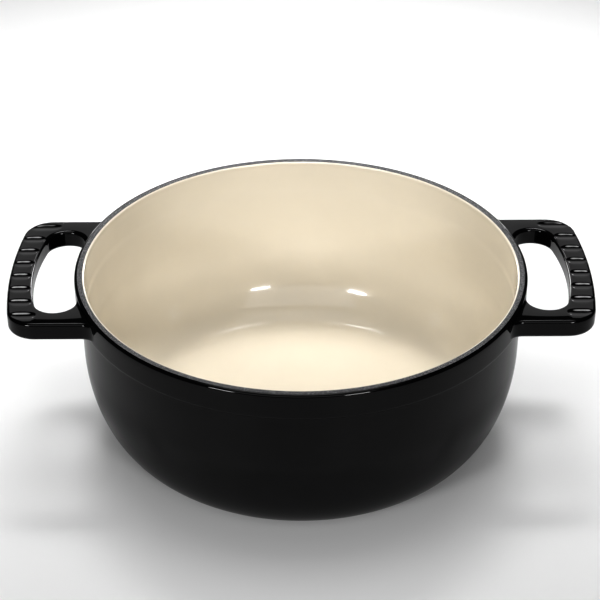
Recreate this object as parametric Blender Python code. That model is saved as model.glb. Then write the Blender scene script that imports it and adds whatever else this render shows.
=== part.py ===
"""An open enamelled cast iron dutch oven with two loop handles.

The pot stands on z = 0, its axis is the Z axis, and the handles lie along X.
The casting is split where its pieces have names: the pot's body and a handle on
either side. Every surface has a thin coat of enamel, which is a skin of its own:
black outside and on the handles, cream inside, and a matt coat on the rim.
All sizes are in metres.
"""

import math

import bmesh
import bpy
from mathutils import Matrix, Vector

# The pot, outside, measured over its enamel.
BODY_RADIUS = 0.126
BODY_HEIGHT = 0.1075
COLLAR_HEIGHT = 0.0135
COLLAR_PROUD = 0.0025
COLLAR_STEP = 0.003
WALL_TAPER = 0.0004
BOWL_CURVE_REACH = 0.0343
BOWL_CURVE_HEIGHT = 0.061
FOOT_HEIGHT = 0.003
FOOT_WIDTH = 0.008
FOOT_RECESS = 0.0012

# The rim and the inside.
RIM_THICKNESS = 0.0055
WALL_THICKNESS = 0.0043
BASE_THICKNESS = 0.0055
LIP_RADIUS = 0.0017
RIM_LAND_WIDTH = 0.0025
RIM_INNER_ROUND = 0.001

# The handles. Each is a bowed bar on two arms, around an opening for the fingers.
FINGER_GAP = 0.023
BAR_WIDTH = 0.013
BAR_BOW_RADIUS = 0.290
HANDLE_HALF_WIDTH = 0.055
HANDLE_CORNER_RADIUS = 0.016
ARM_WIDTH = 0.0125
ARM_FILLET = 0.009
HANDLE_DROP = 0.0028
HANDLE_THICKNESS = 0.0107
HANDLE_EDGE_ROUND = 0.0018

# The flutes across the top of each bar.
FLUTE_COUNT = 8
FLUTE_PITCH = 0.0134
FLUTE_WIDTH = 0.008
FLUTE_DEPTH = 0.0006
FLUTE_LENGTH = 0.0095
FLUTE_END_TAPER = 0.0015
FLUTE_END_SCALE = 0.82

# The enamel, and the clearance between pieces that touch.
ENAMEL = 0.0004
CLEARANCE = 0.0003
FOOT_BARE_EDGE = 0.0009

# How finely round shapes are divided.
TURN_SEGMENTS = 48
FLUTE_SEGMENTS = 32
ARC_STEP = math.radians(20.0)
BOWL_OUTSIDE_ARC_STEP = math.radians(11.25)
BOWL_INSIDE_ARC_STEP = math.radians(12.9)
COLLAR_ARC_STEP = math.radians(45.0)
LIP_ARC_STEP = math.radians(30.0)
RIM_ARC_STEP = math.radians(40.0)
BOW_ARC_STEP = math.radians(2.0)
BAR_ARC_STEP = math.radians(3.0)
CREASE_ANGLE = math.radians(35.0)
MERGE_DISTANCE = 0.000001

# The places that follow from these sizes.
LOWER_RADIUS = BODY_RADIUS - COLLAR_PROUD
STEP_BOTTOM = BODY_HEIGHT - COLLAR_HEIGHT - COLLAR_STEP
CURVE_TOP = FOOT_HEIGHT + BOWL_CURVE_HEIGHT
CURVE_RADIUS = LOWER_RADIUS - WALL_TAPER
FOOT_RADIUS = CURVE_RADIUS - BOWL_CURVE_REACH
FLOOR_HEIGHT = FOOT_RECESS + BASE_THICKNESS
HANDLE_TOP = BODY_HEIGHT - HANDLE_DROP
HANDLE_BOTTOM = HANDLE_TOP - HANDLE_THICKNESS
BAR_INNER_RADIUS = BODY_RADIUS + FINGER_GAP
HANDLE_REACH = BAR_INNER_RADIUS + BAR_WIDTH
IRON_DEPTH = ENAMEL + CLEARANCE
SHALLOW_ROOT_RADIUS = LOWER_RADIUS - WALL_THICKNESS
DEEP_ROOT_RADIUS = LOWER_RADIUS - 2.0 * WALL_THICKNESS


# ---------------------------------------------------------------- outlines

def arc(centre, radii, start, end, step=ARC_STEP):
    """Points of an ellipse's arc from start to end, in degrees, both included."""
    first, last = math.radians(start), math.radians(end)
    count = max(2, round(abs(last - first) / step))
    points = []
    for index in range(count + 1):
        angle = first + (last - first) * index / count
        points.append((centre[0] + radii[0] * math.cos(angle), centre[1] + radii[1] * math.sin(angle)))
    return points


def offset(points, distance, closed=False):
    """The same outline moved to its left by the distance, its corners mitred."""
    moved = []
    count = len(points)
    for index, point in enumerate(points):
        here = Vector(point)
        before = Vector(points[index - 1]) if closed or index > 0 else None
        after = Vector(points[(index + 1) % count]) if closed or index < count - 1 else None
        sides = []
        for start, end in ((before, here), (here, after)):
            if start is not None and end is not None:
                along = (end - start).normalized()
                sides.append(Vector((-along.y, along.x)))
        normal = sum(sides, Vector((0.0, 0.0))).normalized()
        moved.append(tuple(here + normal * (distance / normal.dot(sides[0]))))
    return moved


def outside_curve():
    """The black outside, from the foot up to the rim's outer lip."""
    lip_centre = (BODY_RADIUS - LIP_RADIUS, BODY_HEIGHT - LIP_RADIUS)
    step_round = COLLAR_PROUD / 2.0
    collar_bottom = BODY_HEIGHT - COLLAR_HEIGHT
    points = [(FOOT_RADIUS, FOOT_BARE_EDGE)]
    points += arc((FOOT_RADIUS, CURVE_TOP), (BOWL_CURVE_REACH, BOWL_CURVE_HEIGHT), -90.0, 0.0,
                  BOWL_OUTSIDE_ARC_STEP)
    points += arc((LOWER_RADIUS + step_round, STEP_BOTTOM), (step_round, COLLAR_STEP / 2.0), 180.0, 90.0,
                  COLLAR_ARC_STEP)
    points += arc((BODY_RADIUS - step_round, collar_bottom), (step_round, COLLAR_STEP / 2.0), -90.0, 0.0,
                  COLLAR_ARC_STEP)[1:]
    points += arc(lip_centre, (LIP_RADIUS, LIP_RADIUS), 0.0, 90.0, LIP_ARC_STEP)
    return points


def rim_curve():
    """The matt rim, from beside the outer lip over the land to its inner round."""
    outer_edge = BODY_RADIUS - LIP_RADIUS - CLEARANCE
    inner_edge = outer_edge - RIM_LAND_WIDTH
    points = [(outer_edge, BODY_HEIGHT)]
    points += arc((inner_edge, BODY_HEIGHT - RIM_INNER_ROUND), (RIM_INNER_ROUND, RIM_INNER_ROUND),
                  90.0, 170.0, RIM_ARC_STEP)
    return points


def inside_curve():
    """The cream inside, from under the rim down the wall to the floor's centre."""
    top_radius = BODY_RADIUS - RIM_THICKNESS
    low_radius = CURVE_RADIUS - WALL_THICKNESS
    top = BODY_HEIGHT - RIM_INNER_ROUND - 2.0 * CLEARANCE
    points = [(top_radius, top)]
    points += arc((FOOT_RADIUS, CURVE_TOP), (low_radius - FOOT_RADIUS, CURVE_TOP - FLOOR_HEIGHT),
                  0.0, -90.0, BOWL_INSIDE_ARC_STEP)
    points.append((0.0, FLOOR_HEIGHT))
    return points


def iron_outside_curve():
    """The casting's skin under all three coats, from the foot to the floor's centre."""
    skin = offset(outside_curve() + rim_curve() + inside_curve(), IRON_DEPTH)
    skin[-1] = (0.0, skin[-1][1])
    return skin


def handle_outline(depth=0.0, root_radius=0.0):
    """A handle seen from above, along +X, with its ends run into the wall.

    The outline goes round the outside of the bar and back along the finger
    opening, whose two ends are full rounds. Depth moves all of it inwards.
    """
    bow_centre = HANDLE_REACH - BAR_BOW_RADIUS
    corner_y = HANDLE_HALF_WIDTH - HANDLE_CORNER_RADIUS
    corner_x = bow_centre + math.sqrt((BAR_BOW_RADIUS - HANDLE_CORNER_RADIUS) ** 2 - corner_y ** 2)
    bow_angle = math.degrees(math.atan2(corner_y, corner_x - bow_centre))
    fillet_y = HANDLE_HALF_WIDTH + ARM_FILLET
    fillet_x = math.sqrt((BODY_RADIUS + ARM_FILLET) ** 2 - fillet_y ** 2)
    wall_angle = math.degrees(math.atan2(fillet_y, fillet_x)) + 180.0
    corner = (HANDLE_CORNER_RADIUS, HANDLE_CORNER_RADIUS)
    fillet = (ARM_FILLET, ARM_FILLET)
    half = arc((bow_centre, 0.0), (BAR_BOW_RADIUS, BAR_BOW_RADIUS), 0.0, bow_angle, BOW_ARC_STEP)
    half += arc((corner_x, corner_y), corner, bow_angle, 90.0)[1:]
    half += arc((fillet_x, fillet_y), fillet, 270.0, wall_angle)

    end_radius = FINGER_GAP / 2.0
    end_y = HANDLE_HALF_WIDTH - ARM_WIDTH - end_radius
    end_x = math.sqrt((BODY_RADIUS + end_radius) ** 2 - end_y ** 2)
    end_angle = math.degrees(math.atan2(end_y, end_x))
    back = arc((end_x, end_y), (end_radius, end_radius), end_angle + 180.0, end_angle)
    back += arc((0.0, 0.0), (BAR_INNER_RADIUS, BAR_INNER_RADIUS), end_angle, 0.0, BAR_ARC_STEP)[1:]

    ring = half + [root_point(half[-1], root_radius), root_point(back[0], root_radius)] + back
    mirrored = [(x, -y) for x, y in reversed(ring[1:-1])]
    return offset(ring + mirrored, depth, closed=True)


def root_point(point, root_radius):
    """The point carried straight in towards the axis, to the root radius."""
    away = Vector(point)
    return tuple(away * (root_radius / away.length))


# ---------------------------------------------------------------- making solids

def finish(name, bm, material=None):
    """An object of this name from the mesh, shaded smooth between its creases."""
    mesh = bpy.data.meshes.new(name)
    bm.to_mesh(mesh)
    bm.free()
    mesh.shade_smooth()
    mesh.set_sharp_from_angle(angle=CREASE_ANGLE)
    if material is not None:
        mesh.materials.append(material)
    part = bpy.data.objects.new(name, mesh)
    bpy.context.scene.collection.objects.link(part)
    return part


def turned(name, outline, material=None, closed=True):
    """The outline, (radius, height) points, turned about the Z axis."""
    bm = bmesh.new()
    verts = [bm.verts.new((radius, 0.0, height)) for radius, height in outline]
    edges = [bm.edges.new(pair) for pair in zip(verts, verts[1:])]
    if closed:
        edges.append(bm.edges.new((verts[-1], verts[0])))
    bmesh.ops.spin(bm, geom=verts + edges, cent=(0.0, 0.0, 0.0), axis=(0.0, 0.0, 1.0),
                   angle=math.tau, steps=TURN_SEGMENTS, use_merge=True)
    bmesh.ops.remove_doubles(bm, verts=bm.verts, dist=MERGE_DISTANCE)
    bmesh.ops.recalc_face_normals(bm, faces=bm.faces)
    return finish(name, bm, material)


def coat(name, skin, material):
    """An enamel coat: the finished skin, thickened inwards by the enamel."""
    under = offset(skin, ENAMEL)
    on_axis = skin[-1][0] == 0.0
    if on_axis:
        under[-1] = (0.0, under[-1][1])
        return turned(name, list(reversed(skin)) + under, material, closed=False)
    return turned(name, skin + list(reversed(under)), material)


def plate(name, outline, bottom, top, edge_round):
    """A flat plate of this outline, with its upper and lower edges rounded."""
    bm = bmesh.new()
    face = bm.faces.new([bm.verts.new((x, y, bottom)) for x, y in outline])
    lifted = bmesh.ops.extrude_face_region(bm, geom=[face])
    verts = [item for item in lifted["geom"] if isinstance(item, bmesh.types.BMVert)]
    bmesh.ops.translate(bm, vec=(0.0, 0.0, top - bottom), verts=verts)
    bmesh.ops.recalc_face_normals(bm, faces=bm.faces)
    edges = [edge for edge in bm.edges if abs(edge.verts[0].co.z - edge.verts[1].co.z) < MERGE_DISTANCE]
    bmesh.ops.bevel(bm, geom=edges, offset=edge_round, offset_type="OFFSET", segments=2, profile=0.5,
                    affect="EDGES", clamp_overlap=True)
    return finish(name, bm)


def cut(part, cutter):
    """Take the cutter's shape away from the part's mesh, and remove the cutter."""
    change = part.modifiers.new("Boolean", "BOOLEAN")
    change.operation = "DIFFERENCE"
    change.object = cutter
    evaluated = part.evaluated_get(bpy.context.evaluated_depsgraph_get())
    mesh = bpy.data.meshes.new_from_object(evaluated)
    mesh.name = part.name
    part.modifiers.remove(change)
    part.data = mesh
    bpy.data.objects.remove(cutter)


# ---------------------------------------------------------------- handles

def flute_cutter(index, depth):
    """One boat-shaped cutter across the bar, its length along X."""
    place = (index - (FLUTE_COUNT - 1) / 2.0) * FLUTE_PITCH
    half_chord = FLUTE_WIDTH / 2.0
    radius = (half_chord ** 2 + FLUTE_DEPTH ** 2) / (2.0 * FLUTE_DEPTH)
    outer_x = bar_outer_edge(abs(place) + half_chord)
    inner_x = bar_inner_edge(abs(place))
    length = max(FLUTE_LENGTH, outer_x - inner_x - 2.0 * FLUTE_END_TAPER)
    centre_x = outer_x - FLUTE_END_TAPER - length / 2.0
    bm = bmesh.new()
    bmesh.ops.create_cone(bm, cap_ends=True, segments=FLUTE_SEGMENTS, radius1=radius + depth,
                          radius2=radius + depth, depth=length - 2.0 * FLUTE_END_TAPER,
                          matrix=Matrix.Rotation(math.pi / 2.0, 4, "Y"))
    for face in [face for face in bm.faces if len(face.verts) > 4]:
        tip = bmesh.ops.extrude_discrete_faces(bm, faces=[face])["faces"][0]
        outward = math.copysign(FLUTE_END_TAPER, tip.calc_center_median().x)
        bmesh.ops.scale(bm, vec=(1.0, FLUTE_END_SCALE, FLUTE_END_SCALE), verts=tip.verts)
        bmesh.ops.translate(bm, vec=(outward, 0.0, 0.0), verts=tip.verts)
    height = HANDLE_TOP - FLUTE_DEPTH + radius
    bmesh.ops.translate(bm, vec=(centre_x, place, height), verts=bm.verts)
    bmesh.ops.remove_doubles(bm, verts=bm.verts, dist=MERGE_DISTANCE)
    bmesh.ops.recalc_face_normals(bm, faces=bm.faces)
    return finish(f"flute_{index}", bm)


def bar_outer_edge(y):
    """How far out the handle's outline is at this distance from its middle."""
    bow_centre = HANDLE_REACH - BAR_BOW_RADIUS
    corner_y = HANDLE_HALF_WIDTH - HANDLE_CORNER_RADIUS
    if y <= corner_y:
        return bow_centre + math.sqrt(BAR_BOW_RADIUS ** 2 - y ** 2)
    corner_x = bow_centre + math.sqrt((BAR_BOW_RADIUS - HANDLE_CORNER_RADIUS) ** 2 - corner_y ** 2)
    reach = max(0.0, HANDLE_CORNER_RADIUS ** 2 - (y - corner_y) ** 2)
    return corner_x + math.sqrt(reach)


def bar_inner_edge(y):
    """How far out the finger opening reaches at this distance from its middle."""
    end_radius = FINGER_GAP / 2.0
    end_y = HANDLE_HALF_WIDTH - ARM_WIDTH - end_radius
    if y <= end_y:
        return math.sqrt(BAR_INNER_RADIUS ** 2 - y ** 2)
    end_x = math.sqrt((BODY_RADIUS + end_radius) ** 2 - end_y ** 2)
    reach = max(0.0, end_radius ** 2 - (y - end_y) ** 2)
    return end_x + math.sqrt(reach)


def handle_solid(name, depth, root_radius):
    """The handle on +X with its skin moved in by depth, its root inside the wall."""
    part = plate(name, handle_outline(depth, root_radius), HANDLE_BOTTOM + depth, HANDLE_TOP - depth,
                 HANDLE_EDGE_ROUND - depth)
    for index in range(FLUTE_COUNT):
        cut(part, flute_cutter(index, depth))
    return part


def wall_cutter(depth):
    """The pot's outside as a solid, with its skin moved in by depth."""
    skin = offset(outside_curve(), depth)
    return turned("wall_cutter", [(0.0, skin[0][1])] + skin + [(0.0, skin[-1][1])], closed=False)


def make_handle_core(material):
    """The cast iron of the handle on +X, up to the iron of the wall."""
    core = handle_solid("right_handle", IRON_DEPTH, SHALLOW_ROOT_RADIUS)
    cut(core, wall_cutter(IRON_DEPTH - CLEARANCE))
    core.data.materials.clear()
    core.data.materials.append(material)
    return core


def make_handle_coat(material):
    """The enamel sleeve over the handle on +X, open where the arms meet the wall."""
    sleeve = handle_solid("right_handle_enamel", 0.0, SHALLOW_ROOT_RADIUS)
    cut(sleeve, handle_solid("sleeve_inside", ENAMEL, DEEP_ROOT_RADIUS))
    cut(sleeve, wall_cutter(-CLEARANCE))
    sleeve.data.materials.clear()
    sleeve.data.materials.append(material)
    return sleeve


def turned_about(part, name):
    """A copy of the part on the pot's other side, half a turn about the Z axis."""
    copy = bpy.data.objects.new(name, part.data.copy())
    copy.data.transform(Matrix.Rotation(math.pi, 4, "Z"))
    bpy.context.scene.collection.objects.link(copy)
    return copy


# ---------------------------------------------------------------- body and coats

def make_body(material):
    """The iron pot: its wall, floor, collar and the foot ring that it stands on."""
    ring_outer = FOOT_RADIUS - IRON_DEPTH
    ring_inner = FOOT_RADIUS - FOOT_WIDTH
    underside = FOOT_RECESS + IRON_DEPTH
    outline = [(0.0, underside), (ring_inner, underside), (ring_inner, 0.0), (ring_outer, 0.0)]
    return turned("pot_body", outline + iron_outside_curve(), material, closed=False)


def make_outer_enamel(material):
    """The black coat on the outside, with a window round each arm of the handles."""
    skin = coat("outer_enamel", outside_curve(), material)
    for side in (0.0, math.pi):
        window = handle_solid("window", ENAMEL, DEEP_ROOT_RADIUS)
        window.data.transform(Matrix.Rotation(side, 4, "Z"))
        cut(skin, window)
    return skin


def make_base_enamel(material):
    """The coat on the underside, set into the foot ring and clear of the floor."""
    radius = FOOT_RADIUS - FOOT_WIDTH - CLEARANCE
    outline = [(0.0, FOOT_RECESS), (radius, FOOT_RECESS), (radius, FOOT_RECESS + ENAMEL),
               (0.0, FOOT_RECESS + ENAMEL)]
    return turned("base_enamel", outline, material, closed=False)


# ---------------------------------------------------------------- materials

def material(name, colour, roughness, metallic, coat_weight=0.0):
    """A Principled BSDF material."""
    made = bpy.data.materials.new(name)
    made.use_nodes = True
    shader = made.node_tree.nodes["Principled BSDF"]
    shader.inputs["Base Color"].default_value = (*colour, 1.0)
    shader.inputs["Roughness"].default_value = roughness
    shader.inputs["Metallic"].default_value = metallic
    shader.inputs["Coat Weight"].default_value = coat_weight
    made.diffuse_color = (*colour, 1.0)
    return made


def cast_iron(name):
    return material(name, (0.055, 0.055, 0.058), 0.65, 0.8)


def black_enamel(name):
    return material(name, (0.006, 0.006, 0.007), 0.22, 0.0, 0.6)


def cream_enamel(name):
    return material(name, (0.84, 0.72, 0.50), 0.15, 0.0, 0.6)


def rim_enamel(name):
    return material(name, (0.035, 0.035, 0.038), 0.6, 0.0)


def main():
    for old in list(bpy.data.objects):
        bpy.data.objects.remove(old)
    make_body(cast_iron("iron_body"))
    make_outer_enamel(black_enamel("black_body"))
    coat("rim_enamel", rim_curve(), rim_enamel("matt_rim"))
    coat("inner_enamel", inside_curve(), cream_enamel("cream_inside"))
    make_base_enamel(black_enamel("black_base"))
    turned_about(make_handle_core(cast_iron("iron_handles")), "left_handle")
    turned_about(make_handle_coat(black_enamel("black_handles")), "left_handle_enamel")


main()
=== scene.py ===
"""An open enamelled cast iron dutch oven: its finished surfaces, its stage and its camera.

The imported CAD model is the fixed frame. Each piece here is turned or shaped at the
frame's own size, stands for the plain CAD node of the same part, and takes a
procedural finish. The handles' iron cores are CAD nodes that stay, under their enamel.
Lengths are in metres, and the pot's axis is the Z axis.
"""

import math
from typing import NamedTuple

import bpy
import numpy as np
from bpy.props import FloatProperty, FloatVectorProperty, IntProperty, PointerProperty
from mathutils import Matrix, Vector


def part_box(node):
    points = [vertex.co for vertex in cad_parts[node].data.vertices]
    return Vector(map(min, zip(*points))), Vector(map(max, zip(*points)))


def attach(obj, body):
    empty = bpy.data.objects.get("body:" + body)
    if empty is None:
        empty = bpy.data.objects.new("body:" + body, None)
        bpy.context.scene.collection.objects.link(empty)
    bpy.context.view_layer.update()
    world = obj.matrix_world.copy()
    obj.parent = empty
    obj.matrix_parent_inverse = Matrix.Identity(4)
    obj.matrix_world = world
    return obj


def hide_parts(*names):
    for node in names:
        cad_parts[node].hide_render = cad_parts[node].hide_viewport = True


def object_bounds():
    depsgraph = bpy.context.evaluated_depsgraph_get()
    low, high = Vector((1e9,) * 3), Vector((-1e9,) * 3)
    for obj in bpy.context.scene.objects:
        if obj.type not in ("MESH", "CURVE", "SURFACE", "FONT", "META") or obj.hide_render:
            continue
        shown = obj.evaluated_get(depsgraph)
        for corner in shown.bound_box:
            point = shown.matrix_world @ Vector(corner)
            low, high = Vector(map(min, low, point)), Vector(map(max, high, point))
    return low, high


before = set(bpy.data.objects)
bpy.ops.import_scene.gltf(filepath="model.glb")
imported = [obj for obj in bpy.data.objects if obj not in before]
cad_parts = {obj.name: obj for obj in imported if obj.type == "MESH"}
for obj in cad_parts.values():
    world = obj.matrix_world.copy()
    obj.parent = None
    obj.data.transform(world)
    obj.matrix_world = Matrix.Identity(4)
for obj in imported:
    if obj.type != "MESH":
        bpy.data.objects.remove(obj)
CAD_LOW, CAD_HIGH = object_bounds()

bl_info = {
    "name": "Cast Iron Dutch Oven",
    "version": (1, 0, 0),
    "blender": (4, 5, 0),
    "location": "3D View > Sidebar > Dutch Oven",
    "description": "Builds an open enamelled dutch oven around its CAD model, on a lit stage",
    "category": "Object",
}

BODY = "root"
BODY_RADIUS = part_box("outer_enamel")[1].x
BODY_HEIGHT = CAD_HIGH.z
HANDLE_REACH = CAD_HIGH.x
HANDLE_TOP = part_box("right_handle_enamel")[1].z
HANDLE_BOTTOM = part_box("right_handle_enamel")[0].z

# Points closer than this become one, when a mesh is closed.
MERGE_DISTANCE = 0.000002
# Edges that turn by less than this are shaded smooth.
TURNED_CREASE = math.radians(30.0)
HANDLE_CREASE = math.radians(50.0)

# Divisions along the outlines of the turned pieces.
FINE_STEPS = 3
FOOT_STEPS = 2
BOWL_STEPS = 44
TAPER_STEPS = 10
SHELF_STEPS = 7
COLLAR_STEPS = 6
LIP_STEPS = 9
LAND_STEPS = 4
BEAD_STEPS = 8
WALL_STEPS = 30
FLOOR_STEPS = 8
BASE_STEPS = 6

# Divisions along a handle, from the collar to the bar's middle.
ROOT_ROWS = 30
CORNER_ROWS = 110
BOW_ROWS = 116
# How strongly the root's rows crowd towards the collar.
ROOT_CROWDING = 1.6

# Divisions round a handle's section.
TOP_COLUMNS = 26
UNDER_COLUMNS = 12
SIDE_ROWS = 4
ROUND_STEPS = 6


# ---------------------------------------------------------------- sizes and colours

def length(name, description, default):
    """A property that holds a length in metres."""
    return FloatProperty(name=name, description=description, default=default, subtype="DISTANCE",
                         unit="LENGTH", precision=5)


def colour(name, description, default):
    """A property that holds a linear colour."""
    return FloatVectorProperty(name=name, description=description, default=default, subtype="COLOR",
                               size=3, min=0.0, max=1.0)


class OvenPotSizes(bpy.types.PropertyGroup):
    """The sizes of the turned pot, over its enamel"""

    collar_height: length("Collar height", "From the rim down to the collar's lower edge", 0.0135)
    collar_proud: length("Collar proud", "How far the collar stands out from the wall", 0.0025)
    step_height: length("Step height", "Height of the curved step under the collar", 0.003)
    wall_taper: length("Wall taper", "How much the wall draws in below the step", 0.0004)
    curve_reach: length("Bowl curve reach", "How far the bowl curve runs in to the foot", 0.0343)
    curve_height: length("Bowl curve height", "How high the bowl curve rises up the wall", 0.061)
    foot_height: length("Foot height", "From the ground to the start of the bowl curve", 0.003)
    foot_width: length("Foot width", "Width of the ring that the pot stands on", 0.008)
    foot_recess: length("Foot recess", "How far the underside is set up inside the ring", 0.0012)
    bare_edge: length("Bare edge", "Iron left bare at the bottom of the foot", 0.0009)
    rim_thickness: length("Rim thickness", "From the collar's face to the cream inside", 0.0055)
    wall_thickness: length("Wall thickness", "Thickness of the wall lower down", 0.0043)
    base_thickness: length("Base thickness", "Thickness of the floor", 0.0055)
    lip_radius: length("Lip radius", "Round on the rim's outer edge", 0.0017)
    land_width: length("Land width", "Flat width of the matt rim", 0.0025)
    inner_round: length("Inner round", "Round on the rim's inner edge", 0.001)
    bead_drop: length("Bead drop", "How far the cream bead is set below the rim", 0.0002)
    shoulder_drop: length("Shoulder drop", "From the rim down to the faint shoulder inside", 0.0195)
    shoulder_depth: length("Shoulder depth", "How far the shoulder is set back", 0.00025)
    shoulder_blend: length("Shoulder blend", "Height over which the shoulder fades", 0.002)
    enamel: length("Enamel", "Thickness of the enamel", 0.0004)
    clearance: length("Clearance", "Gap between the enamel and the iron", 0.0003)
    foot_edge: length("Foot edge", "Round or bevel on the foot's edges", 0.0004)
    segments: IntProperty(name="Segments", description="Divisions round a turned piece",
                          default=240, min=48, max=512)


class OvenHandleSizes(bpy.types.PropertyGroup):
    """The sizes of a loop handle and its flutes"""

    finger_gap: length("Finger gap", "From the collar to the inside of the bar", 0.023)
    bow_radius: length("Bow radius", "Radius of the bar's outer edge", 0.290)
    half_width: length("Half width", "From the handle's middle to an arm's outer side", 0.055)
    corner_radius: length("Corner radius", "Radius of the handle's outer corners", 0.016)
    arm_width: length("Arm width", "Width of each arm", 0.0125)
    arm_fillet: length("Arm fillet", "Fillet from an arm's outer side into the collar", 0.009)
    upper_round: length("Upper round", "Round on the upper edges", 0.0016)
    lower_round: length("Lower round", "Round on the lower edges", 0.0024)
    upper_fillet: length("Upper fillet", "Fillet from the top face up the collar", 0.0013)
    lower_fillet: length("Lower fillet", "Fillet from the underside down the wall", 0.004)
    crown: length("Crown", "How much higher the top face is along its middle", 0.00025)
    root_bury: length("Root bury", "How deep the roots reach into the collar", 0.0025)
    root_close: length("Root close", "How much deeper the roots' end faces are", 0.0007)
    flute_count: IntProperty(name="Flutes", description="Flutes across each bar",
                             default=8, min=0, max=20)
    flute_pitch: length("Flute pitch", "From one flute to the next", 0.0134)
    flute_lead: length("Flute lead", "From a flute's middle to its far edge", 0.0040)
    flute_wall: length("Flute wall", "Length of a flute's straight far wall", 0.0010)
    flute_floor: length("Flute floor", "Length of the hollow below the far wall", 0.0019)
    flute_rise: length("Flute rise", "Length of the gentle way back up", 0.0052)
    flute_slope: FloatProperty(name="Flute slope", description="Slope of a flute's far wall",
                               default=math.radians(18.5), min=0.0, max=1.0, subtype="ANGLE",
                               unit="ROTATION")
    flute_gap: length("Flute gap", "From a flute's end to the bar's edge", 0.0010)
    flute_longest: length("Longest flute", "The most that a flute is long", 0.0150)
    flute_soft: length("Flute softness", "Softening of a flute's edges", 0.00006)


class OvenColours(bpy.types.PropertyGroup):
    """The colours of the finishes"""

    black: colour("Black enamel", "The outside and the handles", (0.0014, 0.0014, 0.0016))
    cream: colour("Cream enamel", "The inside", (0.78, 0.72, 0.61))
    rim_grey: colour("Rim grey", "The matt rim between its flecks", (0.030, 0.030, 0.032))
    rim_fleck: colour("Rim fleck", "The pale flecks in the matt rim", (0.36, 0.36, 0.37))
    iron: colour("Iron", "The bare iron of the foot ring", (0.060, 0.058, 0.056))
    floor: colour("Floor", "The table top", (0.78, 0.78, 0.78))


class OvenStageSizes(bpy.types.PropertyGroup):
    """Where the camera stands, and the size and light of the room"""

    camera_distance: length("Camera distance", "From the rim's centre to the camera", 0.9987)
    camera_elevation: FloatProperty(name="Camera elevation",
                                    description="How steeply the camera looks down",
                                    default=math.radians(31.46), subtype="ANGLE", unit="ROTATION")
    camera_turn: FloatProperty(name="Camera turn",
                               description="How far the camera is round to the left",
                               default=math.radians(0.65), subtype="ANGLE", unit="ROTATION")
    aim_height: length("Aim height", "Height on the axis that the camera faces", 0.084)
    camera_shift: length("Camera shift", "How far the camera is moved to the left", 0.0005)
    lens: FloatProperty(name="Lens", description="Focal length", default=107.38, min=20.0,
                        unit="CAMERA")
    sensor: FloatProperty(name="Sensor", description="Width of the camera's sensor",
                          default=36.0, min=1.0, unit="CAMERA")
    floor_size: length("Floor size", "Length of each side of the table top", 12.0)
    room_light: FloatProperty(name="Room light", description="Strength of the light all round",
                              default=0.06, min=0.0)


# ---------------------------------------------------------------- outlines of turned pieces

def smooth(share):
    """A share from 0 to 1, eased at both ends."""
    return share * share * (3.0 - 2.0 * share)


def arc(centre, radii, start, end, count):
    """Points of an ellipse's arc from start to end, in degrees, both included."""
    angles = [math.radians(start + (end - start) * index / count) for index in range(count + 1)]
    return [(centre[0] + radii[0] * math.cos(angle), centre[1] + radii[1] * math.sin(angle))
            for angle in angles]


def line(start, end, count):
    """Points from start to end, without the start."""
    shares = [index / count for index in range(1, count + 1)]
    return [(start[0] + (end[0] - start[0]) * share, start[1] + (end[1] - start[1]) * share)
            for share in shares]


def moved_in(points, distance):
    """An open outline moved to its left by the distance, its corners mitred."""
    path = np.array(points)
    along = np.diff(path, axis=0)
    along /= np.linalg.norm(along, axis=1)[:, None]
    sides = np.column_stack((-along[:, 1], along[:, 0]))
    before = np.vstack((sides[:1], sides))
    after = np.vstack((sides, sides[-1:]))
    normal = before + after
    normal /= np.linalg.norm(normal, axis=1)[:, None]
    reach = distance / np.sum(normal * after, axis=1)
    return [tuple(point) for point in path + normal * reach[:, None]]


def pot_places(pot):
    """The radii and heights that the outlines share."""
    lower_radius = BODY_RADIUS - pot.collar_proud
    curve_radius = lower_radius - pot.wall_taper
    return {
        "lower_radius": lower_radius,
        "curve_radius": curve_radius,
        "foot_radius": curve_radius - pot.curve_reach,
        "curve_top": pot.foot_height + pot.curve_height,
        "step_bottom": BODY_HEIGHT - pot.collar_height - pot.step_height,
        "collar_bottom": BODY_HEIGHT - pot.collar_height,
        "floor_height": pot.foot_recess + pot.base_thickness,
        "inner_radius": curve_radius - pot.wall_thickness,
    }


def outside_outline(pot):
    """The black outside, from the foot up to the end of the outer lip."""
    at = pot_places(pot)
    foot = at["foot_radius"]
    foot_round = (pot.foot_edge, pot.foot_edge)
    foot_shoulder = pot.foot_height - pot.foot_edge
    shelf = (pot.collar_proud / 2.0, pot.step_height / 2.0)
    lip_height = BODY_HEIGHT - pot.lip_radius
    bowl_start = -88.6  # degrees, just past the foot's round
    points = [(foot, pot.bare_edge)]
    points += line(points[-1], (foot, foot_shoulder), FOOT_STEPS)
    points += arc((foot + pot.foot_edge, foot_shoulder), foot_round, 150.0, 90.0, FINE_STEPS)
    points += arc((foot, at["curve_top"]), (pot.curve_reach, pot.curve_height),
                  bowl_start, 0.0, BOWL_STEPS)
    points += line(points[-1], (at["lower_radius"], at["step_bottom"]), TAPER_STEPS)
    points += arc((at["lower_radius"] + shelf[0], at["step_bottom"]), shelf,
                  180.0, 90.0, SHELF_STEPS)[1:]
    points += arc((BODY_RADIUS - shelf[0], at["collar_bottom"]), shelf,
                  -90.0, 0.0, SHELF_STEPS)[1:]
    points += line(points[-1], (BODY_RADIUS, lip_height), COLLAR_STEPS)
    points += arc((BODY_RADIUS - pot.lip_radius, lip_height), (pot.lip_radius, pot.lip_radius),
                  0.0, 90.0, LIP_STEPS)[1:]
    return points


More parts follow.
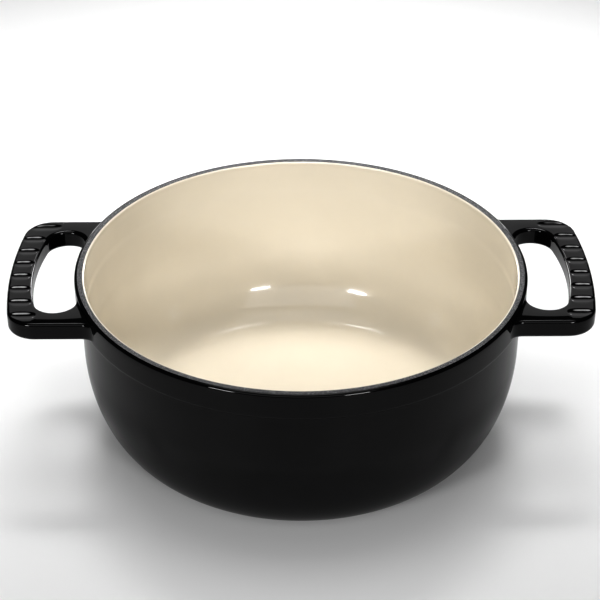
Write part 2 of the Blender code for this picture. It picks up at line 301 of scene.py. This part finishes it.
def rim_outline(pot):
    """The matt rim, from beside the outer lip to the cream bead."""
    outer_edge = BODY_RADIUS - pot.lip_radius - pot.clearance / 4.0
    inner_edge = outer_edge - pot.land_width
    edge = pot.enamel / 2.0
    points = [(outer_edge, BODY_HEIGHT)]
    points += line(points[-1], (inner_edge, BODY_HEIGHT), LAND_STEPS)
    points += arc((inner_edge, BODY_HEIGHT - edge), (edge, edge), 90.0, 180.0, FINE_STEPS)[1:]
    return points


def inside_outline(pot):
    """The cream inside, from its bead beside the rim down the wall to the floor's centre."""
    at = pot_places(pot)
    bead = pot.inner_round
    bead_centre = (BODY_RADIUS - pot.rim_thickness + bead, BODY_HEIGHT - pot.bead_drop - bead)
    points = arc(bead_centre, (bead, bead), 80.0, 178.0, BEAD_STEPS)
    shoulder = BODY_HEIGHT - pot.shoulder_drop
    wall_bottom = (at["inner_radius"], at["curve_top"])
    for radius, height in line(points[-1], wall_bottom, WALL_STEPS):
        rise = min(1.0, max(0.0, (height - shoulder) / pot.shoulder_blend + 0.5))
        points.append((radius + pot.shoulder_depth * smooth(rise), height))
    bowl = (at["inner_radius"] - at["foot_radius"], at["curve_top"] - at["floor_height"])
    points += arc((at["foot_radius"], at["curve_top"]), bowl, 0.0, -90.0, BOWL_STEPS)[1:]
    points += line(points[-1], (0.0, at["floor_height"]), FLOOR_STEPS)
    return points


def coat_outline(skin, enamel):
    """A coat's closed outline: its finished skin, and its back inside by the enamel."""
    back = moved_in(skin, enamel)
    if skin[-1][0] == 0.0:
        back[-1] = (0.0, back[-1][1])
    return list(skin) + back[::-1]


def iron_outline(pot):
    """The iron pot's closed outline, from the underside's centre to the floor's centre."""
    under = pot.foot_recess + pot.enamel + pot.clearance
    ring_outer = pot_places(pot)["foot_radius"] - pot.enamel - pot.clearance
    ring_inner = pot_places(pot)["foot_radius"] - pot.foot_width
    ring = [(ring_inner, under), (ring_inner, pot.foot_edge), (ring_inner + pot.foot_edge, 0.0),
            (ring_outer - pot.foot_edge, 0.0), (ring_outer, pot.foot_edge)]
    # The rim's inner round and the bead's first point fold back, so the iron leaves them out.
    skin = outside_outline(pot) + rim_outline(pot)[:-FINE_STEPS] + inside_outline(pot)[1:]
    iron = moved_in(skin, pot.enamel + pot.clearance)
    iron[-1] = (0.0, iron[-1][1])
    return [(0.0, under)] + ring + iron


def base_outline(pot):
    """The closed outline of the enamel on the underside, inside the foot ring."""
    radius = pot_places(pot)["foot_radius"] - pot.foot_width - pot.clearance
    low, high = pot.foot_recess, pot.foot_recess + pot.enamel
    return ([(0.0, low)] + line((0.0, low), (radius, low), BASE_STEPS) + [(radius, high)]
            + line((radius, high), (0.0, high), BASE_STEPS))


# ---------------------------------------------------------------- making meshes

def deselect():
    """Leave edit mode, and leave nothing selected."""
    if bpy.context.mode != "OBJECT":
        bpy.ops.object.mode_set(mode="OBJECT")
    bpy.ops.object.select_all(action="DESELECT")


def lay_vertices(name, places):
    """Name the primitive just added, lay its vertices on the places, and enter edit mode."""
    piece = bpy.context.object
    piece.name = piece.data.name = name
    piece.data.vertices.foreach_set("co", np.ravel(places))
    bpy.ops.object.mode_set(mode="EDIT")
    bpy.ops.mesh.select_all(action="SELECT")
    return piece


def face_outwards():
    """Point all faces of the mesh in edit mode outwards, and leave edit mode."""
    bpy.ops.mesh.select_all(action="SELECT")
    bpy.ops.mesh.normals_make_consistent(inside=False)
    bpy.ops.object.mode_set(mode="OBJECT")


def turned(name, outline, segments):
    """Turn a closed outline of (radius, height) points about the Z axis."""
    deselect()
    bpy.ops.mesh.primitive_circle_add(vertices=len(outline), radius=BODY_RADIUS,
                                      fill_type="NOTHING")
    piece = lay_vertices(name, [(radius, 0.0, height) for radius, height in outline])
    bpy.ops.mesh.spin(steps=segments, angle=math.tau, use_auto_merge=True,
                      center=(0.0, 0.0, 0.0), axis=(0.0, 0.0, 1.0))
    bpy.ops.mesh.select_all(action="SELECT")
    bpy.ops.mesh.remove_doubles(threshold=MERGE_DISTANCE)
    bpy.ops.mesh.delete_loose(use_verts=True, use_edges=True, use_faces=False)
    face_outwards()
    bpy.ops.object.shade_smooth_by_angle(angle=TURNED_CREASE)
    return piece


def settle(piece, finish, node):
    """Give the piece its finish, and let it ride in the place of its CAD node."""
    piece.data.materials.clear()
    piece.data.materials.append(finish)
    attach(piece, BODY)
    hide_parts(node)


# ---------------------------------------------------------------- the handle's shape

def unit(angle):
    """The direction at this angle from +X."""
    return np.array((math.cos(angle), math.sin(angle)))


def crossing_angle(radius, centre_radius, circle):
    """The angle at the pot's axis from a circle's centre to where it crosses a radius."""
    cosine = (radius ** 2 + centre_radius ** 2 - circle ** 2) / (2 * radius * centre_radius)
    return math.acos(min(1.0, cosine))


class HandlePlan:
    """A handle seen from above along +X, as matched points of its two edges.

    The outer edge runs from the collar over a fillet, an arm, a corner and the bow.
    The inner edge runs round the finger opening, whose end is a full round.
    """

    def __init__(self, size):
        self.size = size
        self.end_radius = size.finger_gap / 2.0
        self.end_circle = BODY_RADIUS + self.end_radius
        end_y = size.half_width - size.arm_width - self.end_radius
        self.end_angle = math.asin(end_y / self.end_circle)
        self.end_centre = np.array((self.end_circle * math.cos(self.end_angle), end_y))
        self.bar_inner = BODY_RADIUS + size.finger_gap
        self.fillet_circle = BODY_RADIUS + size.arm_fillet
        self.fillet_angle = math.asin((size.half_width + size.arm_fillet) / self.fillet_circle)
        self.fillet_end = math.hypot(self.fillet_circle * math.cos(self.fillet_angle),
                                     size.half_width)
        self.bow_centre = HANDLE_REACH - size.bow_radius
        corner_y = size.half_width - size.corner_radius
        corner_circle = size.bow_radius - size.corner_radius
        self.corner = np.array((self.bow_centre + math.sqrt(corner_circle ** 2 - corner_y ** 2),
                                corner_y))
        self.bow_angle = math.asin(corner_y / corner_circle)

    def root_pair(self, radius):
        """The two edges where the handle is this far from the pot's axis."""
        size = self.size
        inner = self.end_angle + crossing_angle(radius, self.end_circle, self.end_radius)
        if radius < self.fillet_end:
            outer = self.fillet_angle - crossing_angle(radius, self.fillet_circle,
                                                       size.arm_fillet)
        else:
            outer = math.asin(size.half_width / radius)
        return radius * unit(outer), radius * unit(inner)

    def corner_pair(self, share, start_radius):
        """The two edges at this share of the way from the arm's root round its corner."""
        radius = self.size.corner_radius
        outer_start, inner_start = self.root_pair(start_radius)
        straight = self.corner[0] - outer_start[0]
        turn = math.pi / 2.0 - self.bow_angle
        gone = share * (straight + radius * turn)
        if gone < straight:
            outer = outer_start + np.array((gone, 0.0))
        else:
            outer = self.corner + radius * unit(math.pi / 2.0 - (gone - straight) / radius)
        away = inner_start - self.end_centre
        first = math.atan2(away[1], away[0])
        inner = self.end_centre + self.end_radius * unit(first + (self.end_angle - first) * share)
        return outer, inner

    def bow_pair(self, share):
        """The two edges at this share of the way from the corner to the bar's middle."""
        left = 1.0 - share
        centre = np.array((self.bow_centre, 0.0))
        outer = centre + self.size.bow_radius * unit(self.bow_angle * left)
        return outer, self.bar_inner * unit(self.end_angle * left)

    def edges(self):
        """All matched pairs, from the wall at +Y round the bar to the wall at -Y."""
        root_end = self.end_circle
        root_shares = [(row / ROOT_ROWS) ** ROOT_CROWDING for row in range(ROOT_ROWS)]
        pairs = [self.root_pair(BODY_RADIUS + (root_end - BODY_RADIUS) * share)
                 for share in root_shares]
        pairs += [self.corner_pair(row / CORNER_ROWS, root_end) for row in range(CORNER_ROWS)]
        pairs += [self.bow_pair(row / BOW_ROWS) for row in range(BOW_ROWS + 1)]
        outer = np.array([pair[0] for pair in pairs])
        inner = np.array([pair[1] for pair in pairs])
        mirror = np.array((1.0, -1.0))
        return (np.vstack((outer, outer[-2::-1] * mirror)),
                np.vstack((inner, inner[-2::-1] * mirror)))

    def outer_edge_at(self, y):
        """How far out the outer edge is, this far from the handle's middle."""
        if y <= self.corner[1]:
            return self.bow_centre + math.sqrt(self.size.bow_radius ** 2 - y ** 2)
        rest = self.size.corner_radius ** 2 - (y - self.corner[1]) ** 2
        return self.corner[0] + math.sqrt(max(0.0, rest))

    def inner_edge_at(self, y):
        """How far out the finger opening is, this far from the handle's middle."""
        if y <= self.end_centre[1]:
            return math.sqrt(self.bar_inner ** 2 - y ** 2)
        rest = self.end_radius ** 2 - (y - self.end_centre[1]) ** 2
        return self.end_centre[0] + math.sqrt(max(0.0, rest))


def edge_normals(edge, towards):
    """For each point of an edge, the direction square to it and towards the other edge."""
    along = np.gradient(edge, axis=0)
    along /= np.linalg.norm(along, axis=1)[:, None]
    normal = np.column_stack((-along[:, 1], along[:, 0]))
    middle = len(edge) // 2
    if np.dot(normal[middle], towards[middle] - edge[middle]) < 0.0:
        normal = -normal
    return normal


def flute_depth(places, plan):
    """How deep the flutes are at each (x, y) place on the top of the bar.

    Towards -Y a flute drops straight down its far wall, levels out over its floor, and
    comes gently back up. It fades quickly at its two ends, and its edges are softened.
    """
    size = plan.size
    end_power = 4
    least_half_length = 0.001
    table_rows = 100
    x, y = places[..., 0], places[..., 1]
    wall, floor, slope = size.flute_wall, size.flute_floor, math.tan(size.flute_slope)
    deepest = slope * (wall + floor / 2.0)
    table = np.linspace(0.0, size.half_width, table_rows)
    table_edge = [plan.outer_edge_at(value) for value in table]
    outer_x = np.interp(np.abs(y), table, table_edge) - size.flute_gap
    depth = np.zeros(x.shape)
    for index in range(size.flute_count):
        middle = (index - (size.flute_count - 1) / 2.0) * size.flute_pitch
        far_edge = middle + size.flute_lead
        longest_x = plan.outer_edge_at(abs(far_edge)) - size.flute_gap - size.flute_longest
        inner_x = max(plan.inner_edge_at(abs(middle)) + size.flute_gap, longest_x)

        down = far_edge - y
        on_floor = np.clip(down - wall, 0.0, floor)
        past_floor = down - wall - floor
        sunk = slope * (np.minimum(down, wall) + on_floor - on_floor ** 2 / (2.0 * floor))
        sunk -= deepest * smooth(np.clip(past_floor / size.flute_rise, 0.0, 1.0))
        sunk -= slope * np.maximum(past_floor - size.flute_rise, 0.0)

        half_length = np.maximum((outer_x - inner_x) / 2.0, least_half_length)
        along = np.abs(x - (outer_x + inner_x) / 2.0) / half_length
        sunk -= deepest * along ** end_power
        depth += size.flute_soft * np.logaddexp(0.0, sunk / size.flute_soft)
    return depth


def fillet_rise(gap, radius):
    """The height of a concave fillet, this far from the wall that it runs up."""
    short = radius - np.clip(gap, 0.0, radius)
    return radius - np.sqrt(np.maximum(radius ** 2 - short ** 2, 0.0))


def section_loops(size, outer, inner):
    """The loops of the handle's skin, in order round its section from its inner upper edge.

    Each has its places along the handle seen from above, its share of the way down from
    the top face to the underside, and what is added to its height there.
    """
    outer_in = edge_normals(outer, inner)
    inner_in = edge_normals(inner, outer)
    upper, lower = size.upper_round, size.lower_round
    rising = np.radians(np.linspace(0.0, 90.0, ROUND_STEPS + 1))
    shares = [row / SIDE_ROWS for row in range(1, SIDE_ROWS)]

    def rounded(edge, inwards, radius, down, turns):
        """The loops round one edge, at angles that rise from its side to its flat."""
        sign = 1.0 if down else -1.0
        return [(edge + inwards * (radius * (1.0 - math.cos(turn))), down,
                 sign * radius * (1.0 - math.sin(turn))) for turn in turns]

    def across(start, end, columns, down):
        """The loops between two edges, over the top face or the underside."""
        return [(start + (end - start) * (column / columns), down, 0.0)
                for column in range(1, columns)]

    def side(edge, shares):
        """The loops between the rounds of one side."""
        return [(edge, share, lower * share - upper * (1.0 - share)) for share in shares]

    return [
        *rounded(inner, inner_in, upper, 0.0, rising),
        *across(inner + inner_in * upper, outer + outer_in * upper, TOP_COLUMNS, 0.0),
        *rounded(outer, outer_in, upper, 0.0, rising[::-1]),
        *side(outer, shares),
        *rounded(outer, outer_in, lower, 1.0, rising),
        *across(outer + outer_in * lower, inner + inner_in * lower, UNDER_COLUMNS, 1.0),
        *rounded(inner, inner_in, lower, 1.0, rising[::-1]),
        *side(inner, shares[::-1]),
    ]


def handle_places(size, wall_radius):
    """The handle's skin as rows of points, each row a closed loop round the section."""
    plan = HandlePlan(size)
    outer, inner = plan.edges()
    middle = (inner + outer) / 2.0
    half = np.linalg.norm(outer - inner, axis=1) / 2.0
    loops = section_loops(size, outer, inner)
    rows = np.zeros((len(outer), len(loops), 3))
    for column, (flat, down, added) in enumerate(loops):
        away = np.linalg.norm(flat, axis=1)
        kept = np.maximum(away, BODY_RADIUS - size.root_bury)
        flat = flat * (kept / away)[:, None]
        from_middle = np.minimum(np.linalg.norm(flat - middle, axis=1) / half, 1.0)
        high = (HANDLE_TOP - size.crown * from_middle ** 2 - flute_depth(flat, plan)
                + fillet_rise(kept - BODY_RADIUS, size.upper_fillet))
        low = HANDLE_BOTTOM - fillet_rise(kept - wall_radius, size.lower_fillet)
        rows[:, column, :2] = flat
        rows[:, column, 2] = high * (1.0 - down) + low * down + added
    return rows


def handle_mesh(name, size, wall_radius):
    """The handle on +X: a grid laid round the section, closed along its seam and ends."""
    rows = handle_places(size, wall_radius)
    end_radius = BODY_RADIUS - size.root_bury - size.root_close
    ends = []
    for row in (rows[0], rows[-1]):
        buried = row.copy()
        buried[:, :2] *= (end_radius / np.linalg.norm(buried[:, :2], axis=1))[:, None]
        ends.append(buried)
    rows = np.concatenate((ends[:1], rows, ends[1:]))
    count, around = rows.shape[:2]
    rows = np.concatenate((rows, rows[:, :1]), axis=1)
    deselect()
    bpy.ops.mesh.primitive_grid_add(x_subdivisions=around, y_subdivisions=count - 1,
                                    size=BODY_RADIUS)
    piece = lay_vertices(name, rows)
    bpy.ops.mesh.remove_doubles(threshold=MERGE_DISTANCE)
    bpy.ops.mesh.select_all(action="DESELECT")
    bpy.ops.mesh.select_non_manifold(extend=False, use_wire=False, use_multi_face=False,
                                     use_non_contiguous=False, use_verts=False)
    bpy.ops.mesh.edge_face_add()
    face_outwards()
    bpy.ops.object.shade_smooth_by_angle(angle=HANDLE_CREASE)
    return piece


def other_side(piece, name):
    """The piece's mirror image on the other side of the pot, with a mesh of its own."""
    deselect()
    piece.select_set(True)
    bpy.context.view_layer.objects.active = piece
    bpy.ops.object.duplicate(linked=False)
    copy = bpy.context.object
    copy.name = copy.data.name = name
    copy.scale = (-1.0, 1.0, 1.0)
    bpy.ops.object.transform_apply(location=True, rotation=True, scale=True)
    bpy.ops.object.mode_set(mode="EDIT")
    face_outwards()
    return copy


# ---------------------------------------------------------------- finishes

# The range that holds most of a noise's values.
NOISE_LOW, NOISE_HIGH = 0.3, 0.7


class Finish:
    """A Principled BSDF material whose nodes are added one after another."""

    def __init__(self, name):
        self.material = bpy.data.materials.new(name)
        self.material.use_nodes = True
        self.nodes = self.material.node_tree.nodes
        self.links = self.material.node_tree.links
        self.shader = self.nodes["Principled BSDF"]
        self.place = self.nodes.new("ShaderNodeTexCoord").outputs["Object"]

    def noise(self, scale, detail=2.0, roughness=0.5):
        """A noise with this many features in a metre."""
        node = self.nodes.new("ShaderNodeTexNoise")
        node.inputs["Scale"].default_value = scale
        node.inputs["Detail"].default_value = detail
        node.inputs["Roughness"].default_value = roughness
        self.links.new(self.place, node.inputs["Vector"])
        return node.outputs["Fac"]

    def spread(self, value, to_low=0.0, to_high=1.0, low=NOISE_LOW, high=NOISE_HIGH):
        """The value carried from one range to another, smoothly and held at its ends."""
        node = self.nodes.new("ShaderNodeMapRange")
        node.interpolation_type = "SMOOTHSTEP"
        ends = {"From Min": low, "From Max": high, "To Min": to_low, "To Max": to_high}
        for socket, number in ends.items():
            node.inputs[socket].default_value = number
        self.links.new(value, node.inputs["Value"])
        return node.outputs["Result"]

    def mix(self, share, first, second):
        """A colour between two."""
        node = self.nodes.new("ShaderNodeMix")
        node.data_type = "RGBA"
        colours = [socket for socket in node.inputs if socket.type == "RGBA"]
        self.links.new(share, node.inputs["Factor"])
        for socket, value in zip(colours, (first, second)):
            socket.default_value = (*value, 1.0)
        return next(socket for socket in node.outputs if socket.type == "RGBA")

    def shades(self, share, base, darker, lighter):
        """A colour between a darker and a lighter shade of itself."""
        return self.mix(share, shade(base, darker), shade(base, lighter))

    def raised(self, value, distance, over=None):
        """A surface raised by the value times a distance in metres, over another."""
        node = self.nodes.new("ShaderNodeBump")
        node.inputs["Distance"].default_value = distance
        node.inputs["Strength"].default_value = 1.0
        self.links.new(value, node.inputs["Height"])
        if over is not None:
            self.links.new(over, node.inputs["Normal"])
        return node.outputs["Normal"]

    def feed(self, socket, value):
        """Link a node's output to one of the shader's sockets."""
        self.links.new(value, self.shader.inputs[socket])

    def set(self, **values):
        """Set the shader's own sockets; an underscore stands for a space."""
        for name, value in values.items():
            self.shader.inputs[name.replace("_", " ")].default_value = value


def shade(base, factor):
    """A colour made lighter or darker."""
    return tuple(min(1.0, channel * factor) for channel in base)


def black_enamel_finish(name, colours):
    """Satin black enamel: a faint mottle, a slow ripple and a fine orange peel."""
    finish = Finish(name)
    mottle = finish.spread(finish.noise(60.0, detail=3.0))
    finish.feed("Base Color", finish.shades(mottle, colours.black, darker=0.75, lighter=1.35))
    wear = finish.noise(220.0, detail=3.0)
    finish.feed("Roughness", finish.spread(wear, to_low=0.33, to_high=0.37))
    ripple = finish.raised(finish.noise(45.0, detail=1.0), 0.00008)
    peel = finish.raised(finish.noise(500.0, detail=1.0), 0.000005, over=ripple)
    finish.feed("Normal", peel)
    finish.set(Specular_IOR_Level=0.0, Coat_Weight=0.55, Coat_Roughness=0.035, Coat_IOR=1.5)
    return finish.material


def cream_enamel_finish(name, colours):
    """Cream enamel: glossy, very slightly clouded, with a slow ripple."""
    finish = Finish(name)
    cloud = finish.spread(finish.noise(25.0, detail=3.0))
    finish.feed("Base Color", finish.shades(cloud, colours.cream, darker=0.985, lighter=1.015))
    finish.feed("Roughness", finish.spread(finish.noise(180.0), to_low=0.10, to_high=0.16))
    ripple = finish.raised(finish.noise(30.0, detail=1.0), 0.00006)
    finish.feed("Normal", finish.raised(finish.noise(600.0), 0.000006, over=ripple))
    finish.set(Specular_IOR_Level=0.45, Coat_Weight=0.55, Coat_Roughness=0.04)
    return finish.material


def rim_finish(name, colours):
    """The matt rim: dark grey with fine pale flecks, and a grainy surface."""
    finish = Finish(name)
    grain = finish.noise(1900.0, roughness=0.7)
    fleck = finish.spread(grain, low=0.50, high=0.70)
    finish.feed("Base Color", finish.mix(fleck, colours.rim_grey, colours.rim_fleck))
    finish.feed("Roughness", finish.spread(finish.noise(900.0), to_low=0.35, to_high=0.6))
    finish.feed("Normal", finish.raised(grain, 0.00008))
    finish.set(Specular_IOR_Level=0.5)
    return finish.material


def iron_finish(name, colours):
    """As-cast iron: dark, grainy and a little brighter on its worn high spots."""
    finish = Finish(name)
    grain = finish.noise(900.0, detail=4.0, roughness=0.65)
    worn = finish.spread(finish.noise(120.0, detail=3.0), low=0.45, high=0.75)
    finish.feed("Base Color", finish.shades(worn, colours.iron, darker=0.7, lighter=1.6))
    finish.feed("Roughness", finish.spread(grain, to_low=0.45, to_high=0.75))
    finish.feed("Normal", finish.raised(grain, 0.00015))
    finish.set(Metallic=0.8)
    return finish.material


def floor_finish(name, colours):
    """A pale matt table top with a trace of tooth."""
    finish = Finish(name)
    tone = finish.spread(finish.noise(3.0))
    finish.feed("Base Color", finish.shades(tone, colours.floor, darker=0.985, lighter=1.0))
    finish.feed("Normal", finish.raised(finish.noise(900.0), 0.00002))
    finish.set(Roughness=0.55, Specular_IOR_Level=0.3)
    return finish.material


# ---------------------------------------------------------------- operators

def turn_coat(context, name, outline, finish, node):
    """Turn one coat of the pot's enamel from the outline of its finished skin."""
    pot = context.scene.oven_pot
    piece = turned(name, coat_outline(outline(pot), pot.enamel), pot.segments)
    settle(piece, finish, node)


class OVEN_OT_iron_pot(bpy.types.Operator):
    """Turn the iron pot, which shows only at its foot ring"""

    bl_idname = "oven.iron_pot"
    bl_label = "Iron pot"

    def execute(self, context):
        pot = context.scene.oven_pot
        piece = turned("iron_pot", iron_outline(pot), pot.segments)
        finish = iron_finish("cast_iron_pot", context.scene.oven_colours)
        settle(piece, finish, "pot_body")
        return {"FINISHED"}


class OVEN_OT_black_coat(bpy.types.Operator):
    """Turn the black enamel on the outside of the pot"""

    bl_idname = "oven.black_coat"
    bl_label = "Black enamel"

    def execute(self, context):
        finish = black_enamel_finish("black_enamel_pot", context.scene.oven_colours)
        turn_coat(context, "black_enamel", outside_outline, finish,
                  "outer_enamel")
        return {"FINISHED"}


class OVEN_OT_cream_lining(bpy.types.Operator):
    """Turn the cream enamel inside the pot"""

    bl_idname = "oven.cream_lining"
    bl_label = "Cream enamel"

    def execute(self, context):
        finish = cream_enamel_finish("cream_enamel_inside", context.scene.oven_colours)
        turn_coat(context, "cream_enamel", inside_outline, finish,
                  "inner_enamel")
        return {"FINISHED"}


class OVEN_OT_rim_coat(bpy.types.Operator):
    """Turn the matt enamel on the rim"""

    bl_idname = "oven.rim_coat"
    bl_label = "Rim enamel"

    def execute(self, context):
        finish = rim_finish("matt_rim_enamel", context.scene.oven_colours)
        turn_coat(context, "matt_rim", rim_outline, finish, "rim_enamel")
        return {"FINISHED"}


class OVEN_OT_base_coat(bpy.types.Operator):
    """Turn the black enamel on the underside, inside the foot ring"""

    bl_idname = "oven.base_coat"
    bl_label = "Base enamel"

    def execute(self, context):
        pot = context.scene.oven_pot
        piece = turned("base_enamel_coat", base_outline(pot), pot.segments)
        finish = black_enamel_finish("black_enamel_base", context.scene.oven_colours)
        settle(piece, finish, "base_enamel")
        return {"FINISHED"}


class OVEN_OT_handles(bpy.types.Operator):
    """Shape the enamelled handle on the right, and mirror it to the left"""

    bl_idname = "oven.handles"
    bl_label = "Handles"

    def execute(self, context):
        scene = context.scene
        wall_radius = pot_places(scene.oven_pot)["lower_radius"]
        right = handle_mesh("right_handle_coat", scene.oven_handle, wall_radius)
        left = other_side(right, "left_handle_coat")
        for piece, side in ((right, "right"), (left, "left")):
            finish = black_enamel_finish(f"black_enamel_{side}_handle", scene.oven_colours)
            settle(piece, finish, f"{side}_handle_enamel")
            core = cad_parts[f"{side}_handle"]
            core.data.materials.clear()
            core.data.materials.append(iron_finish(f"cast_iron_{side}_handle",
                                                   scene.oven_colours))
        return {"FINISHED"}


class OVEN_OT_stage(bpy.types.Operator):
    """Lay the floor, hang the lamps and set up the camera"""

    bl_idname = "oven.stage"
    bl_label = "Stage"

    def execute(self, context):
        scene = context.scene
        lay_floor(scene)
        light_the_room(scene)
        for lamp in LAMPS:
            hang(lamp)
        set_camera(scene)
        return {"FINISHED"}


# ---------------------------------------------------------------- stage

class Lamp(NamedTuple):
    """A soft rectangular lamp: its size in metres, its power in watts, its spread in degrees."""

    name: str
    place: tuple
    aim: tuple
    size: tuple
    power: float
    spread: float = 180.0


POT_MIDDLE = (0.0, 0.0, 0.05)
LAMPS = (
    # Two small lamps in front, for the bright spots on the cream wall and the lip.
    Lamp("left_lamp", (-0.80, -1.09, 0.55), POT_MIDDLE, (0.26, 0.20), 4.9),
    Lamp("right_lamp", (0.55, -1.22, 0.52), POT_MIDDLE, (0.26, 0.16), 4.1),
    # A wide fill in front, and two lamps over the pot that light the floor and the cream.
    Lamp("front_fill", (0.0, -1.70, 1.40), POT_MIDDLE, (2.4, 1.3), 9.2),
    Lamp("top_lamp", (0.0, -0.02, 1.50), (0.0, -0.02, 0.0), (1.2, 1.2), 1.9),
    Lamp("top_core", (0.0, 0.05, 1.50), (0.0, 0.05, 0.0), (0.7, 0.5), 0.80, spread=80.0),
    # High behind, for the bright line on each flute's far wall.
    Lamp("back_lamp", (0.0, 0.70, 1.45), (0.0, 0.28, 0.0), (1.10, 0.42), 1.30, spread=34.0),
    # Upright behind, for the sheen on the handles, the rim and the floor.
    Lamp("back_panel", (0.0, 1.15, 0.53), (0.0, 0.0, 0.50), (1.27, 0.82), 2.8),
    Lamp("far_lamp", (0.0, 0.80, 0.60), (0.0, 0.50, 0.0), (0.10, 0.10), 0.15, spread=70.0),
    # Low behind, for the lines along the finger openings.
    Lamp("left_strip", (-0.28, 0.80, 0.20), (0.14, 0.0, 0.10), (0.24, 0.30), 0.08, spread=30.0),
    Lamp("right_strip", (0.28, 0.80, 0.20), (-0.14, 0.0, 0.10), (0.24, 0.30), 0.08, spread=30.0),
)


def hang(lamp):
    """Hang a lamp at its place, facing its aim and hidden from the camera."""
    deselect()
    bpy.ops.object.light_add(type="AREA", location=lamp.place)
    light = bpy.context.object
    light.name = lamp.name
    facing = Vector(lamp.aim) - Vector(lamp.place)
    light.rotation_euler = facing.to_track_quat("-Z", "Y").to_euler()
    light.data.shape = "RECTANGLE"
    light.data.size, light.data.size_y = lamp.size
    light.data.energy = lamp.power
    light.data.spread = math.radians(lamp.spread)
    light.visible_camera = False


def lay_floor(scene):
    """A wide pale table top."""
    deselect()
    bpy.ops.mesh.primitive_grid_add(x_subdivisions=8, y_subdivisions=8,
                                    size=scene.oven_stage.floor_size)
    floor = bpy.context.object
    floor.name = "floor"
    floor.data.materials.append(floor_finish("table_top", scene.oven_colours))


def light_the_room(scene):
    """A faint even surround, which fills the shadows."""
    world = bpy.data.worlds.new("room")
    world.use_nodes = True
    background = world.node_tree.nodes["Background"]
    background.inputs["Color"].default_value = (1.0, 1.0, 1.0, 1.0)
    background.inputs["Strength"].default_value = scene.oven_stage.room_light
    scene.world = world
    scene.view_settings.view_transform = "Standard"
    scene.view_settings.look = "High Contrast"


def set_camera(scene):
    """A long lens above the front of the pot, a little to its left."""
    stage = scene.oven_stage
    turn, elevation = stage.camera_turn, stage.camera_elevation
    away = stage.camera_distance * math.cos(elevation)
    height = BODY_HEIGHT + stage.camera_distance * math.sin(elevation)
    place = Vector((-away * math.sin(turn), -away * math.cos(turn), height))
    aim = Vector((0.0, 0.0, stage.aim_height))
    deselect()
    bpy.ops.object.camera_add(location=place - Vector((stage.camera_shift, 0.0, 0.0)))
    camera = bpy.context.object
    camera.name = "camera"
    camera.rotation_euler = (aim - place).to_track_quat("-Z", "Y").to_euler()
    camera.data.lens = stage.lens
    camera.data.sensor_width = stage.sensor
    scene.camera = camera


# ---------------------------------------------------------------- panel and registration

class OVEN_PT_panel(bpy.types.Panel):
    """The pieces of the dutch oven, in the sidebar"""

    bl_idname = "OVEN_PT_panel"
    bl_label = "Dutch Oven"
    bl_space_type = "VIEW_3D"
    bl_region_type = "UI"
    bl_category = "Dutch Oven"

    def draw(self, context):
        for operator in OPERATORS:
            self.layout.operator(operator.bl_idname)
        for group in ("oven_pot", "oven_handle", "oven_colours", "oven_stage"):
            box = self.layout.box()
            settings = getattr(context.scene, group)
            for name in settings.__annotations__:
                box.prop(settings, name)


GROUPS = {
    "oven_pot": OvenPotSizes,
    "oven_handle": OvenHandleSizes,
    "oven_colours": OvenColours,
    "oven_stage": OvenStageSizes,
}
OPERATORS = (OVEN_OT_iron_pot, OVEN_OT_black_coat, OVEN_OT_cream_lining, OVEN_OT_rim_coat,
             OVEN_OT_base_coat, OVEN_OT_handles, OVEN_OT_stage)
CLASSES = (*GROUPS.values(), *OPERATORS, OVEN_PT_panel)


def register():
    """Register the classes, and give every scene its groups of sizes."""
    for item in CLASSES:
        bpy.utils.register_class(item)
    for name, group in GROUPS.items():
        setattr(bpy.types.Scene, name, PointerProperty(type=group))


def unregister():
    """Take away what register added."""
    for name in GROUPS:
        delattr(bpy.types.Scene, name)
    for item in reversed(CLASSES):
        bpy.utils.unregister_class(item)


def main():
    """Build the pot piece by piece, then its stage."""
    register()
    bpy.ops.oven.iron_pot()
    bpy.ops.oven.black_coat()
    bpy.ops.oven.cream_lining()
    bpy.ops.oven.rim_coat()
    bpy.ops.oven.base_coat()
    bpy.ops.oven.handles()
    bpy.ops.oven.stage()


if __name__ == "__main__":
    main()
